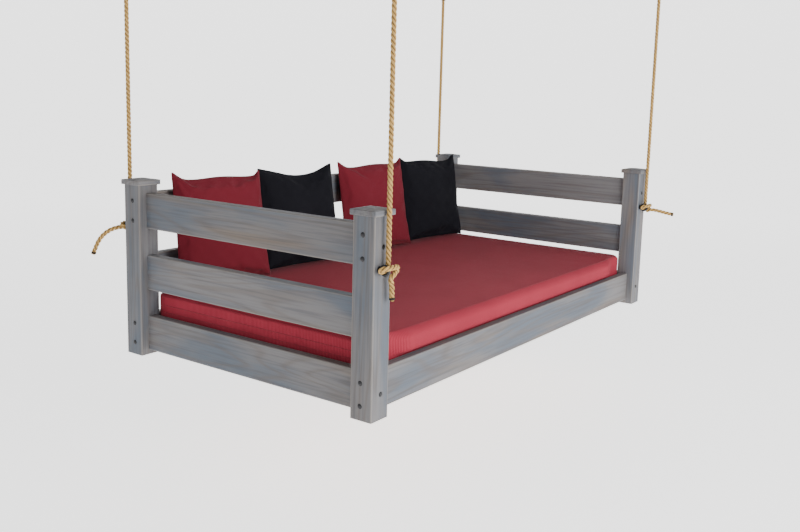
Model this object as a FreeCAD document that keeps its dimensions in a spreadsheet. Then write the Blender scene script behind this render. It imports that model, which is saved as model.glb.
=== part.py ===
"""Hanging daybed porch swing: a four-post timber bed held by four ropes under ceiling brackets.

Millimetres, +Z up. The origin is the centre of the ceiling plane that the four brackets bolt to.
X runs along the bed, the open front faces -Y and the back rails stand at +Y.
Heights in the sheet are measured up from the post feet, and high() turns one into a Z.
"""
import FreeCAD, Part
import math
import os
import Sketcher
from FreeCAD import Placement, Rotation, Vector

SIZES = {
    "ceilingHigh": 1740,
    # posts and caps
    "postSide": 89, "postSpanX": 2180, "postSpanY": 1150, "postTall": 676, "timberEase": 4,
    "capSide": 106, "capEdge": 19, "capChamfer": 2, "capRise": 5, "capFoot": 102, "capFlat": 30,
    "dowelRadius": 6, "dowelInPost": 25, "dowelInCap": 14,
    # rails and their joints
    "railThick": 38, "railTall": 139, "railInset": 34, "railEase": 5, "lowLevel": 87.5, "levelStep": 244,
    "tenonThick": 22, "tenonDeep": 60, "twinTall": 30, "twinOffset": 39, "singleTall": 40,
    # bolts through the post faces
    "boltRadius": 4.75, "boltHoleRadius": 4.9, "boltSet": 3.5, "headRadius": 9, "headHigh": 5,
    "pinBoltLong": 70, "endBoltLong": 105, "holeSpare": 1,
    # slatted base
    "ledgerSide": 38, "ledgerLong": 2080, "ledgerTop": 93,
    "slatWide": 89, "slatThick": 19, "slatLong": 1091, "slatReach": 985, "slatCount": 13,
    "slatScrewLong": 56, "slatScrewRadius": 2, "slatScrewHead": 4.5, "screwHeadHigh": 2.5, "screwSpare": 0.1,
    "ledgerScrewLong": 63, "ledgerScrewRadius": 2.5, "ledgerScrewReach": 950, "ledgerScrewCount": 6,
    # mattress and pillows
    "mattressLong": 2112, "mattressDeep": 1082, "mattressTall": 140, "mattressCorner": 48, "mattressEase": 12,
    "pillowWide": 470, "pillowThick": 110, "pillowTall": 455, "pillowRound": 50,
    "pillowFootY": 440, "pillowFootHigh": 253.8, "pillowLean": 7.3,
    # ropes and their hitches
    "ropeRadius": 9, "ropeOff": 22, "hitchHigh": 505, "knotRadius": 24, "knotWide": 36, "knotRound": 10,
    "eyeShankRadius": 6, "eyeShankLong": 70, "collarRadius": 12, "collarThick": 3, "eyeRingRadius": 15,
    "eyeWireRadius": 5, "eyeShift": 17, "dropFoot": 529.5, "bendHigh": 705, "spanFoot": 708.5,
    "cupRadius": 9.4,
    # hanging hardware
    "plateLong": 120, "plateWide": 60, "plateThick": 6, "plateCorner": 8, "lagSpan": 90, "lagHoleRadius": 4.6,
    "earThick": 6, "earGap": 24, "earRadius": 12, "pinRadius": 6, "pinHoleRadius": 6.05, "pinLong": 40,
    "swayHigh": 1705, "swingHigh": 1662, "swivelRadius": 11, "swivelLong": 23.4, "webSide": 15,
    "yokeTop": 1640, "yokeFoot": 1626, "barrelRadius": 14, "barrelFoot": 1575, "boreRadius": 9.3,
    "boreTop": 1620, "ropeTop": 1619.5,
}

CORNERS = {"front_left": (-1, -1), "front_right": (1, -1), "back_left": (-1, 1), "back_right": (1, 1)}
LEVELS = {
    "lower": "Dims.lowLevel",
    "middle": "(Dims.lowLevel + Dims.levelStep)",
    "top": "(Dims.lowLevel + 2 * Dims.levelStep)",
}
BOLTED_LEVELS = ("lower", "top")
# How far the inner faces of the apron and the back rails stand from the middle of the bed.
INNER_FACE = "(Dims.postSpanY + Dims.postSide) / 2 - Dims.railInset - Dims.railThick"
PILLOW_MIDDLES = {"pillow_1": -770, "pillow_2": -290, "pillow_3": 270, "pillow_4": 770}

# Each tail's route from inside its hitch: across from the post's middle, out from the post's face, height.
TAIL_ROUTES = {
    "front_left": ((12, 22, 497), (19, 24, 472), (17, 25, 437), (20, 26, 402)),
    "front_right": ((4, 33, 511), (18, 68, 494), (33, 112, 483), (48, 155, 475)),
    "back_left": ((-5, 30, 505), (-24, 52, 500), (-50, 85, 487), (-70, 112, 462), (-84, 130, 426),
                  (-92, 142, 386)),
    "back_right": ((-12, 22, 497), (-18, 25, 474), (-15, 25, 440), (-19, 27, 406)),
}

ALONG = {"x": Vector(1, 0, 0), "y": Vector(0, 1, 0), "z": Vector(0, 0, 1)}

doc = FreeCAD.newDocument("porch_swing")
sheet = doc.addObject("Spreadsheet::Sheet", "Dims")
sub_parts = []


def fill_sheet():
    """Write every driving dimension as a plain number with its alias."""
    for row, (name, number) in enumerate(SIZES.items(), start=1):
        sheet.set(f"A{row}", name)
        sheet.set(f"B{row}", str(number))
        sheet.setAlias(f"B{row}", name)
    doc.recompute()


def value(expression):
    """The number that an expression on the sheet comes to."""
    return float(sheet.evalExpression(str(expression)))


def high(height):
    """A height above the post feet as a Z below the ceiling."""
    return f"{height} - Dims.ceilingHigh"


def finish(obj, label):
    """Name an object as one of the sub-parts that are written out."""
    obj.Label = label
    sub_parts.append(obj)
    return obj


def put(obj, where, turn=None):
    """Place an object by three sheet expressions and an optional rotation."""
    obj.Placement = Placement(Vector(), turn or Rotation())
    for axis, expression in zip("xyz", where):
        obj.setExpression(f"Placement.Base.{axis}", expression)
    return obj


def block(name, size, middle):
    """A box given by its three sizes and its centre."""
    box = doc.addObject("Part::Box", name)
    for side, axis, length, centre in zip(("Length", "Width", "Height"), "xyz", size, middle):
        box.setExpression(side, length)
        box.setExpression(f"Placement.Base.{axis}", f"{centre} - ({length}) / 2")
    return box


def rod(name, radius, length, foot, toward):
    """A cylinder from its foot in a direction."""
    cylinder = doc.addObject("Part::Cylinder", name)
    cylinder.setExpression("Radius", radius)
    cylinder.setExpression("Height", length)
    return put(cylinder, foot, Rotation(ALONG["z"], Vector(*toward)))


def ball(name, radius, middle):
    """A sphere about its centre."""
    sphere = doc.addObject("Part::Sphere", name)
    sphere.setExpression("Radius", radius)
    return put(sphere, middle)


def fuse(name, members):
    """Join several solids into one object."""
    joined = doc.addObject("Part::MultiFuse", name)
    joined.Shapes = members
    joined.Refine = True
    return joined


def cut(name, base, tools):
    """Take one or more tools away from a base."""
    tool = tools[0] if len(tools) == 1 else fuse(f"{name}_tools", tools)
    result = doc.addObject("Part::Cut", name)
    result.Base = base
    result.Tool = tool
    return result


def ease(name, base, radius, wanted):
    """Round the edges of a base that the test picks."""
    doc.recompute()
    rounding = value(radius)
    numbers = [index for index, edge in enumerate(base.Shape.Edges, start=1) if wanted(edge)]
    fillet = doc.addObject("Part::Fillet", name)
    fillet.Base = base
    fillet.Edges = [(index, rounding, rounding) for index in numbers]
    return fillet


def runs_along(axis):
    """A test for straight edges that run along an axis."""
    def test(edge):
        ends = edge.Vertexes
        way = ends[-1].Point - ends[0].Point
        return way.Length > 0 and abs(abs(way.normalize().dot(ALONG[axis])) - 1) < 1e-6
    return test


def timber(name, size, middle, along, radius):
    """A board with its four long edges eased."""
    return ease(f"{name}_eased", block(f"{name}_blank", size, middle), radius, runs_along(along))


def plane(body, role):
    """One of a body's own origin planes or axes."""
    return next(item for item in body.Origin.OriginFeatures if item.Role == role)


def bound(sketch, kind, expression, *places):
    """A length constraint that a sheet expression drives."""
    number = sketch.addConstraint(Sketcher.Constraint(kind, *places, value(expression)))
    sketch.setExpression(f"Constraints[{number}]", expression)


def attached_sketch(body, name, role, offset, upright=False):
    """A sketch on one of the body's origin planes, moved within it by sheet expressions."""
    sketch = body.newObject("Sketcher::SketchObject", name)
    sketch.AttachmentSupport = [(plane(body, role), "")]
    sketch.MapMode = "FlatFace"
    quarter_turn = Rotation(ALONG["z"], 90) if upright else Rotation()
    sketch.AttachmentOffset = Placement(Vector(), quarter_turn)
    for axis, expression in zip("xyz", offset):
        sketch.setExpression(f"AttachmentOffset.Base.{axis}", expression)
    return sketch


def headed_profile(sketch, head, shank):
    """Half of a headed bolt along the sketch's H axis: domed head first, then a plain shank."""
    head_radius, head_high = (value(size) for size in head)
    shank_radius, shank_long = (value(size) for size in shank)
    dome_radius = (head_radius ** 2 + head_high ** 2) / (2 * head_high)
    rim_angle = math.pi - math.asin(head_radius / dome_radius)
    tip = Vector()
    rim = Vector(head_high, head_radius)
    neck = Vector(head_high, shank_radius)
    point = Vector(head_high + shank_long, shank_radius)
    foot = Vector(head_high + shank_long, 0)
    dome = Part.Circle(Vector(dome_radius, 0), ALONG["z"], dome_radius)
    sketch.addGeometry(Part.ArcOfCircle(dome, rim_angle, math.pi))
    for start, end in ((rim, neck), (neck, point), (point, foot), (foot, tip)):
        sketch.addGeometry(Part.LineSegment(start, end))
    for first, first_end, second, second_end in (
            (0, 1, 1, 1), (1, 2, 2, 1), (2, 2, 3, 1), (3, 2, 4, 1), (4, 2, 0, 2), (0, 2, -1, 1)):
        sketch.addConstraint(Sketcher.Constraint("Coincident", first, first_end, second, second_end))
    for kind, line in (("Vertical", 1), ("Horizontal", 2), ("Vertical", 3), ("Horizontal", 4)):
        sketch.addConstraint(Sketcher.Constraint(kind, line))
    sketch.addConstraint(Sketcher.Constraint("PointOnObject", 0, 3, -1))
    bound(sketch, "DistanceX", head[1], -1, 1, 1, 1)
    bound(sketch, "DistanceY", head[0], -1, 1, 1, 1)
    bound(sketch, "DistanceY", shank[0], -1, 1, 2, 1)
    bound(sketch, "DistanceX", shank[1], 2, 1, 2, 2)


def headed_group(label, role, offset, head, shank, rows, mirrors, upright=False):
    """Identical headed fasteners: one turned on its axis, then repeated in rows and mirrored."""
    body = doc.addObject("PartDesign::Body", label)
    sketch = attached_sketch(body, f"{label}_profile", role, offset, upright)
    headed_profile(sketch, head, shank)
    turned = body.newObject("PartDesign::Revolution", f"{label}_turned")
    turned.Profile = sketch
    turned.ReferenceAxis = (sketch, ["H_Axis"])
    turned.Angle = 360
    doc.recompute()
    steps = []
    repeat = body.newObject("PartDesign::MultiTransform", f"{label}_repeat")
    for index, (axis, length, count) in enumerate(rows):
        row = body.newObject("PartDesign::LinearPattern", f"{label}_row_{index}")
        row.Direction = (plane(body, axis), [""])
        row.setExpression("Length", length)
        row.setExpression("Occurrences", count)
        steps.append(row)
    for index, mirror_role in enumerate(mirrors):
        mirror = body.newObject("PartDesign::Mirrored", f"{label}_mirror_{index}")
        mirror.MirrorPlane = (plane(body, mirror_role), [""])
        steps.append(mirror)
    repeat.Originals = [turned]
    repeat.Transformations = steps
    body.Tip = repeat
    return finish(put(body, ("0", "0", "-Dims.ceilingHigh")), label)


def post_middle(corner):
    """Sheet expressions for the middle of a corner's post."""
    side_x, side_y = CORNERS[corner]
    return f"{side_x} * Dims.postSpanX / 2", f"{side_y} * Dims.postSpanY / 2"


def rail_x(side_x):
    """The middle plane of the rails at one end."""
    return f"{side_x} * ((Dims.postSpanX + Dims.postSide - Dims.railThick) / 2 - Dims.railInset)"


def rail_y(side_y):
    """The middle plane of the rails along one side."""
    return f"{side_y} * ((Dims.postSpanY + Dims.postSide - Dims.railThick) / 2 - Dims.railInset)"


def side_levels(side_y):
    """The rail levels along one side: the open front has only the lower one."""
    return ("lower",) if side_y < 0 else tuple(LEVELS)


def make_tenons():
    """The tenon blocks at each post: twin ones for an end rail, a single one between them for a long rail."""
    twin, single = {}, {}
    for corner, (side_x, side_y) in CORNERS.items():
        for level, height in LEVELS.items():
            deep_y = f"{side_y} * (Dims.postSpanY - Dims.postSide + Dims.tenonDeep) / 2"
            twin[corner, level] = [
                block(f"{corner}_{level}_twin_{name}", ("Dims.tenonThick", "Dims.tenonDeep", "Dims.twinTall"),
                      (rail_x(side_x), deep_y, high(f"{height} {sign} Dims.twinOffset")))
                for name, sign in (("upper", "+"), ("under", "-"))]
        for level in side_levels(side_y):
            deep_x = f"{side_x} * (Dims.postSpanX - Dims.postSide + Dims.tenonDeep) / 2"
            single[corner, level] = block(
                f"{corner}_{level}_tenon", ("Dims.tenonDeep", "Dims.tenonThick", "Dims.singleTall"),
                (deep_x, rail_y(side_y), high(LEVELS[level])))
    return twin, single


def make_bolt_holes():
    """The pin and end bolt holes at each post, shared by the post and the rails that they pass into."""
    pins, ends = {}, {}
    for corner, (side_x, side_y) in CORNERS.items():
        outer_x = f"{side_x} * (Dims.postSpanX + Dims.postSide) / 2"
        outer_y = f"{side_y} * (Dims.postSpanY + Dims.postSide) / 2"
        set_x = f"{side_x} * (Dims.postSpanX / 2 - Dims.boltSet)"
        set_y = f"{side_y} * (Dims.postSpanY / 2 - Dims.boltSet)"
        for level in BOLTED_LEVELS:
            height = LEVELS[level]
            pins[corner, level] = [
                rod(f"{corner}_{level}_pin_hole_{name}", "Dims.boltHoleRadius",
                    "Dims.pinBoltLong + Dims.holeSpare",
                    (outer_x, set_y, high(f"{height} {sign} Dims.twinOffset")), (-side_x, 0, 0))
                for name, sign in (("upper", "+"), ("under", "-"))]
            ends[corner, level] = rod(
                f"{corner}_{level}_end_hole", "Dims.boltHoleRadius", "Dims.endBoltLong + Dims.holeSpare",
                (set_x, outer_y, high(height)), (0, -side_y, 0))
    return pins, ends


def make_posts(twin, single, pins, ends):
    """Four posts with their mortises, bolt holes, dowel hole and eye bolt hole."""
    for corner, (_, side_y) in CORNERS.items():
        middle_x, middle_y = post_middle(corner)
        blank = timber(f"{corner}_post", ("Dims.postSide", "Dims.postSide", "Dims.postTall"),
                       (middle_x, middle_y, high("Dims.postTall / 2")), "z", "Dims.timberEase")
        tools = [tenon for level in LEVELS for tenon in twin[corner, level]]
        tools += [single[corner, level] for level in side_levels(side_y)]
        tools += [hole for level in BOLTED_LEVELS for hole in pins[corner, level] + [ends[corner, level]]]
        tools.append(rod(f"{corner}_dowel_hole", "Dims.dowelRadius", "Dims.dowelInPost",
                         (middle_x, middle_y, high("Dims.postTall")), (0, 0, -1)))
        tools.append(rod(f"{corner}_eye_hole", "Dims.eyeShankRadius", "Dims.eyeShankLong",
                         (f"{middle_x} - Dims.eyeShift", f"{side_y} * (Dims.postSpanY + Dims.postSide) / 2",
                          high("Dims.hitchHigh")), (0, -side_y, 0)))
        finish(cut(f"{corner}_post_cut", blank, tools), f"{corner}_post")


def make_caps():
    """Four post caps: a chamfered square slab under a low four-sided rise, with a dowel socket."""
    for corner in CORNERS:
        middle_x, middle_y = post_middle(corner)
        slab = block(f"{corner}_cap_slab", ("Dims.capSide", "Dims.capSide", "Dims.capEdge"),
                     (middle_x, middle_y, high("(Dims.postTall + Dims.capEdge / 2)")))
        doc.recompute()
        bevel = value("Dims.capChamfer")
        chamfer = doc.addObject("Part::Chamfer", f"{corner}_cap_chamfer")
        chamfer.Base = slab
        chamfer.Edges = [(index, bevel, bevel) for index in range(1, len(slab.Shape.Edges) + 1)]
        rise = doc.addObject("Part::Wedge", f"{corner}_cap_rise")
        for axis in "XZ":
            for level, width in (("", "Dims.capFoot"), ("2", "Dims.capFlat")):
                rise.setExpression(f"{axis}{level}min", f"-{width} / 2")
                rise.setExpression(f"{axis}{level}max", f"{width} / 2")
        rise.setExpression("Ymin", "0")
        rise.setExpression("Ymax", "Dims.capRise")
        put(rise, (middle_x, middle_y, high("Dims.postTall + Dims.capEdge")),
            Rotation(ALONG["x"], 90))
        socket = rod(f"{corner}_cap_socket", "Dims.dowelRadius", "Dims.dowelInCap",
                     (middle_x, middle_y, high("Dims.postTall")), (0, 0, 1))
        whole = fuse(f"{corner}_cap_body", [chamfer, rise])
        finish(cut(f"{corner}_cap_cut", whole, [socket]), f"{corner}_post_cap")
    dowels = [rod(f"{corner}_dowel", "Dims.dowelRadius", "Dims.dowelInPost + Dims.dowelInCap",
                  (*post_middle(corner), high("Dims.postTall - Dims.dowelInPost")), (0, 0, 1))
              for corner in CORNERS]
    finish(fuse("dowel_group", dowels), "cap_dowels")


def make_end_rails(twin, pins, ends):
    """Three rails across each end, tenoned into the front and back posts."""
    for side, side_x in (("left", -1), ("right", 1)):
        for level, height in LEVELS.items():
            name = f"{side}_end_rail_{level}"
            blank = timber(name, ("Dims.railThick", "Dims.postSpanY - Dims.postSide", "Dims.railTall"),
                           (rail_x(side_x), "0", high(height)), "y", "Dims.railEase")
            corners = [f"front_{side}", f"back_{side}"]
            tenons = [tenon for corner in corners for tenon in twin[corner, level]]
            whole = fuse(f"{name}_whole", [blank] + tenons)
            if level not in BOLTED_LEVELS:
                finish(whole, name)
                continue
            holes = [hole for corner in corners for hole in pins[corner, level] + [ends[corner, level]]]
            finish(cut(f"{name}_cut", whole, holes), name)


def screw_columns():
    """Sheet expressions for where the ledger screws stand along X."""
    step = "2 * Dims.ledgerScrewReach / (Dims.ledgerScrewCount - 1)"
    count = int(value("Dims.ledgerScrewCount"))
    return [f"-Dims.ledgerScrewReach + {index} * {step}" for index in range(count)]


def make_long_rails(single, ends):
    """The front apron and the three back rails, each on one tenon at each end."""
    for side, side_y in (("front", -1), ("back", 1)):
        for level in side_levels(side_y):
            name = "front_apron" if side_y < 0 else f"back_rail_{level}"
            blank = timber(name, ("Dims.postSpanX - Dims.postSide", "Dims.railThick", "Dims.railTall"),
                           ("0", rail_y(side_y), high(LEVELS[level])), "x", "Dims.railEase")
            corners = [f"{side}_left", f"{side}_right"]
            whole = fuse(f"{name}_whole", [blank] + [single[corner, level] for corner in corners])
            holes = [ends[corner, level] for corner in corners] if level in BOLTED_LEVELS else []
            if level == "lower":
                inner_y = f"{side_y} * ({INNER_FACE})"
                bite = "Dims.ledgerScrewLong - Dims.ledgerSide + Dims.holeSpare"
                screw_z = high("(Dims.ledgerTop - Dims.ledgerSide / 2)")
                holes += [rod(f"{name}_screw_hole_{index}", "Dims.ledgerScrewRadius + Dims.screwSpare", bite,
                              (column, inner_y, screw_z), (0, side_y, 0))
                          for index, column in enumerate(screw_columns())]
            finish(cut(f"{name}_cut", whole, holes) if holes else whole, name)


def make_ledgers():
    """The two ledgers that carry the slats, drilled for the screws both ways."""
    slat_step = "2 * Dims.slatReach / (Dims.slatCount - 1)"
    for side, side_y in (("front", -1), ("back", 1)):
        name = f"{side}_slat_ledger"
        inner = f"({INNER_FACE})"
        middle_y = f"{side_y} * ({inner} - Dims.ledgerSide / 2)"
        blank = block(f"{name}_blank", ("Dims.ledgerLong", "Dims.ledgerSide", "Dims.ledgerSide"),
                      ("0", middle_y, high("(Dims.ledgerTop - Dims.ledgerSide / 2)")))
        holes = [rod(f"{name}_across_{index}", "Dims.ledgerScrewRadius + Dims.screwSpare", "Dims.ledgerSide",
                     (column, f"{side_y} * ({inner} - Dims.ledgerSide)",
                      high("(Dims.ledgerTop - Dims.ledgerSide / 2)")), (0, side_y, 0))
                 for index, column in enumerate(screw_columns())]
        holes += [rod(f"{name}_up_{index}", "Dims.slatScrewRadius + Dims.screwSpare", "Dims.ledgerSide",
                      (f"-Dims.slatReach + {index} * {slat_step}", middle_y,
                       high("(Dims.ledgerTop - Dims.ledgerSide)")), (0, 0, 1))
                  for index in range(int(value("Dims.slatCount")))]
        finish(cut(f"{name}_cut", blank, holes), name)


def make_slats():
    """The bed slats: one drilled board, repeated along X."""
    body = doc.addObject("PartDesign::Body", "bed_slats")
    sketch = attached_sketch(body, "slat_outline", "XY_Plane", ("-Dims.slatReach", "0", "Dims.ledgerTop"))
    half_wide = value("Dims.slatWide / 2")
    half_long = value("Dims.slatLong / 2")
    screw_row = f"{INNER_FACE} - Dims.ledgerSide / 2"
    points = [Vector(-half_wide, -half_long), Vector(half_wide, -half_long),
              Vector(half_wide, half_long), Vector(-half_wide, half_long)]
    for index, start in enumerate(points):
        sketch.addGeometry(Part.LineSegment(start, points[(index + 1) % 4]))
    for index in range(4):
        sketch.addConstraint(Sketcher.Constraint("Coincident", index, 2, (index + 1) % 4, 1))
        sketch.addConstraint(Sketcher.Constraint("Vertical" if index % 2 else "Horizontal", index))
    sketch.addConstraint(Sketcher.Constraint("Symmetric", 0, 1, 2, 1, -1, 1))
    bound(sketch, "DistanceX", "Dims.slatWide", 0, 1, 0, 2)
    bound(sketch, "DistanceY", "Dims.slatLong", 1, 1, 1, 2)
    hole_radius = value("Dims.slatScrewRadius + Dims.screwSpare")
    for circle, side in ((4, 1), (5, -1)):
        middle = Vector(0, side * value(screw_row))
        sketch.addGeometry(Part.Circle(middle, ALONG["z"], hole_radius))
        sketch.addConstraint(Sketcher.Constraint("PointOnObject", circle, 3, -2))
        bound(sketch, "Radius", "Dims.slatScrewRadius + Dims.screwSpare", circle)
    bound(sketch, "DistanceY", screw_row, -1, 1, 4, 3)
    bound(sketch, "DistanceY", screw_row, 5, 3, -1, 1)
    board = body.newObject("PartDesign::Pad", "slat_board")
    board.Profile = sketch
    board.setExpression("Length", "Dims.slatThick")
    doc.recompute()
    row = body.newObject("PartDesign::LinearPattern", "slat_row")
    row.Originals = [board]
    row.Direction = (plane(body, "X_Axis"), [""])
    row.setExpression("Length", "2 * Dims.slatReach")
    row.setExpression("Occurrences", "Dims.slatCount")
    body.Tip = row
    finish(put(body, ("0", "0", "-Dims.ceilingHigh")), "bed_slats")


def make_fasteners():
    """Pin bolts, end bolts, ledger screws and slat screws, each kind as one group."""
    bolt_head = ("Dims.headRadius", "Dims.headHigh")
    levels = ("Z_Axis", "2 * Dims.levelStep", "2")
    headed_group(
        "pin_bolts", "XZ_Plane",
        ("-(Dims.postSpanX + Dims.postSide) / 2 - Dims.headHigh", "Dims.lowLevel - Dims.twinOffset",
         "Dims.postSpanY / 2 - Dims.boltSet"),
        bolt_head, ("Dims.boltRadius", "Dims.pinBoltLong"),
        [("Z_Axis", "2 * Dims.twinOffset", "2"), levels], ("YZ_Plane", "XZ_Plane"))
    headed_group(
        "end_bolts", "YZ_Plane",
        ("-(Dims.postSpanY + Dims.postSide) / 2 - Dims.headHigh", "Dims.lowLevel",
         "-(Dims.postSpanX / 2 - Dims.boltSet)"),
        bolt_head, ("Dims.boltRadius", "Dims.endBoltLong"), [levels], ("YZ_Plane", "XZ_Plane"))
    screw_high = "Dims.screwHeadHigh"
    inner = f"{INNER_FACE} - Dims.ledgerSide"
    headed_group(
        "ledger_screws", "YZ_Plane",
        (f"{inner} - {screw_high}", "Dims.ledgerTop - Dims.ledgerSide / 2", "-Dims.ledgerScrewReach"),
        ("Dims.slatScrewHead", screw_high), ("Dims.ledgerScrewRadius", "Dims.ledgerScrewLong"),
        [("X_Axis", "2 * Dims.ledgerScrewReach", "Dims.ledgerScrewCount")], ("XZ_Plane",))
    headed_group(
        "slat_screws", "XZ_Plane",
        ("-Dims.slatReach", f"Dims.ledgerTop - Dims.ledgerSide - {screw_high}",
         f"-({inner} + Dims.ledgerSide / 2)"),
        ("Dims.slatScrewHead", screw_high), ("Dims.slatScrewRadius", "Dims.slatScrewLong"),
        [("X_Axis", "2 * Dims.slatReach", "Dims.slatCount")], ("XZ_Plane",), upright=True)


def make_mattress():
    """The box mattress, with round corners that clear the posts."""
    blank = block("mattress_blank", ("Dims.mattressLong", "Dims.mattressDeep", "Dims.mattressTall"),
                  ("0", "0", high("(Dims.ledgerTop + Dims.slatThick + Dims.mattressTall / 2)")))
    rounded = ease("mattress_corners", blank, "Dims.mattressCorner", runs_along("z"))
    doc.recompute()
    top_and_foot = ease("mattress_edges", rounded, "Dims.mattressEase",
                        lambda edge: abs(edge.BoundBox.ZLength) < 1e-6)
    finish(top_and_foot, "mattress")


def make_pillows():
    """Four throw pillows that stand on the mattress and lean on the back rails."""
    for label, middle in PILLOW_MIDDLES.items():
        box = doc.addObject("Part::Box", f"{label}_blank")
        for side, length in (("Length", "pillowWide"), ("Width", "pillowThick"), ("Height", "pillowTall")):
            box.setExpression(side, f"Dims.{length}")
        round_box = ease(f"{label}_round", box, "Dims.pillowRound", lambda edge: True)
        stand = doc.addObject("Part::Compound", f"{label}_stand")
        box.setExpression("Placement.Base.x", "-Dims.pillowWide / 2")
        box.setExpression("Placement.Base.y", "-Dims.pillowThick / 2")
        stand.Links = [round_box]
        lean = Rotation(ALONG["x"], -value("Dims.pillowLean"))
        put(stand, (str(middle), "Dims.pillowFootY", high("Dims.pillowFootHigh")), lean)
        finish(stand, label)


def tangent_path(points):
    """Straight runs joined by tangent arcs, each as large as its two runs allow; gives the wire and radii."""
    edges, radii = [], []
    start = points[0]
    for before, corner, after in zip(points, points[1:], points[2:]):
        arriving = corner - before
        leaving = after - corner
        half_turn = arriving.getAngle(leaving) / 2
        reach = 0.45 * min(arriving.Length, leaving.Length)
        arriving.normalize()
        leaving.normalize()
        enter = corner - arriving * reach
        leave = corner + leaving * reach
        radius = reach / math.tan(half_turn)
        inward = (leaving - arriving).normalize()
        crown = corner + inward * (radius / math.cos(half_turn) - radius)
        edges.append(Part.LineSegment(start, enter).toShape())
        edges.append(Part.Arc(enter, crown, leave).toShape())
        radii.append(radius)
        start = leave
    edges.append(Part.LineSegment(start, points[-1]).toShape())
    return Part.Wire(edges), radii


def make_tail(corner):
    """The free end below a hitch, as a plain tube that starts inside the hitch."""
    side_x, side_y = CORNERS[corner]
    middle_x = side_x * value("Dims.postSpanX / 2")
    face_y = value("(Dims.postSpanY + Dims.postSide) / 2")
    floor_z = value("-Dims.ceilingHigh")
    points = [Vector(middle_x + across, side_y * (face_y + out), floor_z + height)
              for across, out, height in TAIL_ROUTES[corner]]
    path, radii = tangent_path(points)
    radius = value("Dims.ropeRadius")
    first_way = points[1] - points[0]
    section = Part.Wire([Part.Circle(points[0], first_way, radius).toShape()])
    tube = path.makePipeShell([section], True, False)
    ideal = math.pi * radius ** 2 * path.Length
    if abs(tube.Volume - ideal) > 0.01 * ideal:
        raise ValueError(f"{corner} tail: volume {tube.Volume:.0f}, section times length {ideal:.0f}")
    print(f"{corner} tail: length {path.Length:.0f}, radii", ", ".join(f"{bend:.0f}" for bend in radii))
    tail = doc.addObject("Part::Feature", f"{corner}_tail")
    tail.Shape = tube
    tail.Placement = Placement()
    finish(tail, f"{corner}_rope_tail")


def make_ropes():
    """At each corner: an eye bolt, the hitch on it, its tail, and the rope to the socket in two lengths."""
    eyes = []
    for corner, (_, side_y) in CORNERS.items():
        rope_x = post_middle(corner)[0]
        eye_x = f"{rope_x} - Dims.eyeShift"
        face_y = f"{side_y} * (Dims.postSpanY + Dims.postSide) / 2"
        rope_y = f"{side_y} * ((Dims.postSpanY + Dims.postSide) / 2 + Dims.ropeOff)"
        hitch_z = high("Dims.hitchHigh")
        ring = doc.addObject("Part::Torus", f"{corner}_eye_ring")
        ring.setExpression("Radius1", "Dims.eyeRingRadius")
        ring.setExpression("Radius2", "Dims.eyeWireRadius")
        put(ring, (eye_x, rope_y, hitch_z), Rotation(ALONG["z"], ALONG["x"]))
        eyes += [
            rod(f"{corner}_eye_shank", "Dims.eyeShankRadius", "Dims.eyeShankLong", (eye_x, face_y, hitch_z),
                (0, -side_y, 0)),
            rod(f"{corner}_eye_collar", "Dims.collarRadius", "Dims.collarThick", (eye_x, face_y, hitch_z),
                (0, side_y, 0)),
            ring]
        drum_foot = f"{side_y} * ((Dims.postSpanY + Dims.postSide) / 2 + Dims.ropeOff - Dims.knotWide / 2)"
        drum = rod(f"{corner}_knot_drum", "Dims.knotRadius", "Dims.knotWide", (rope_x, drum_foot, hitch_z),
                   (0, side_y, 0))
        finish(ease(f"{corner}_knot_round", drum, "Dims.knotRound", lambda edge: edge.Closed),
               f"{corner}_rope_knot")
        make_tail(corner)
        bend_z = high("Dims.bendHigh")
        lower = rod(f"{corner}_drop_run", "Dims.ropeRadius", "Dims.bendHigh - Dims.dropFoot",
                    (rope_x, rope_y, high("Dims.dropFoot")), (0, 0, 1))
        dome = ball(f"{corner}_drop_dome", "Dims.ropeRadius", (rope_x, rope_y, bend_z))
        finish(fuse(f"{corner}_drop_whole", [lower, dome]), f"{corner}_rope_drop")
        upper = rod(f"{corner}_span_run", "Dims.ropeRadius", "Dims.ropeTop - Dims.spanFoot",
                    (rope_x, rope_y, high("Dims.spanFoot")), (0, 0, 1))
        cup = ball(f"{corner}_span_cup", "Dims.cupRadius", (rope_x, rope_y, bend_z))
        finish(cut(f"{corner}_span_cut", upper, [cup]), f"{corner}_rope_span")
    finish(fuse("eye_bolt_group", eyes), "eye_bolts")


def forked_ears(name, across, middle, pivot_high, root_high):
    """Two ears either side of a pivot: flat sides down or up to their root, round about the pin.

    The ears stand apart along `across`, and their pin hole runs that way too.
    """
    middle_x, middle_y = middle
    ears = []
    ear_middle = "(Dims.earGap + Dims.earThick) / 2"
    tall = f"abs({pivot_high} - {root_high})"
    half_high = high(f"({pivot_high} + {root_high}) / 2")
    for tag, sign in (("low", "-"), ("far", "+")):
        if across == "x":
            size = ("Dims.earThick", "2 * Dims.earRadius", tall)
            place = (f"{middle_x} {sign} {ear_middle}", middle_y, half_high)
            pin_foot = (f"{middle_x} {sign} {ear_middle} - Dims.earThick / 2", middle_y, high(pivot_high))
            way = (1, 0, 0)
        else:
            size = ("2 * Dims.earRadius", "Dims.earThick", tall)
            place = (middle_x, f"{middle_y} {sign} {ear_middle}", half_high)
            pin_foot = (middle_x, f"{middle_y} {sign} {ear_middle} - Dims.earThick / 2", high(pivot_high))
            way = (0, 1, 0)
        ears.append(block(f"{name}_{tag}_ear", size, place))
        ears.append(rod(f"{name}_{tag}_end", "Dims.earRadius", "Dims.earThick", pin_foot, way))
    return ears


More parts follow.
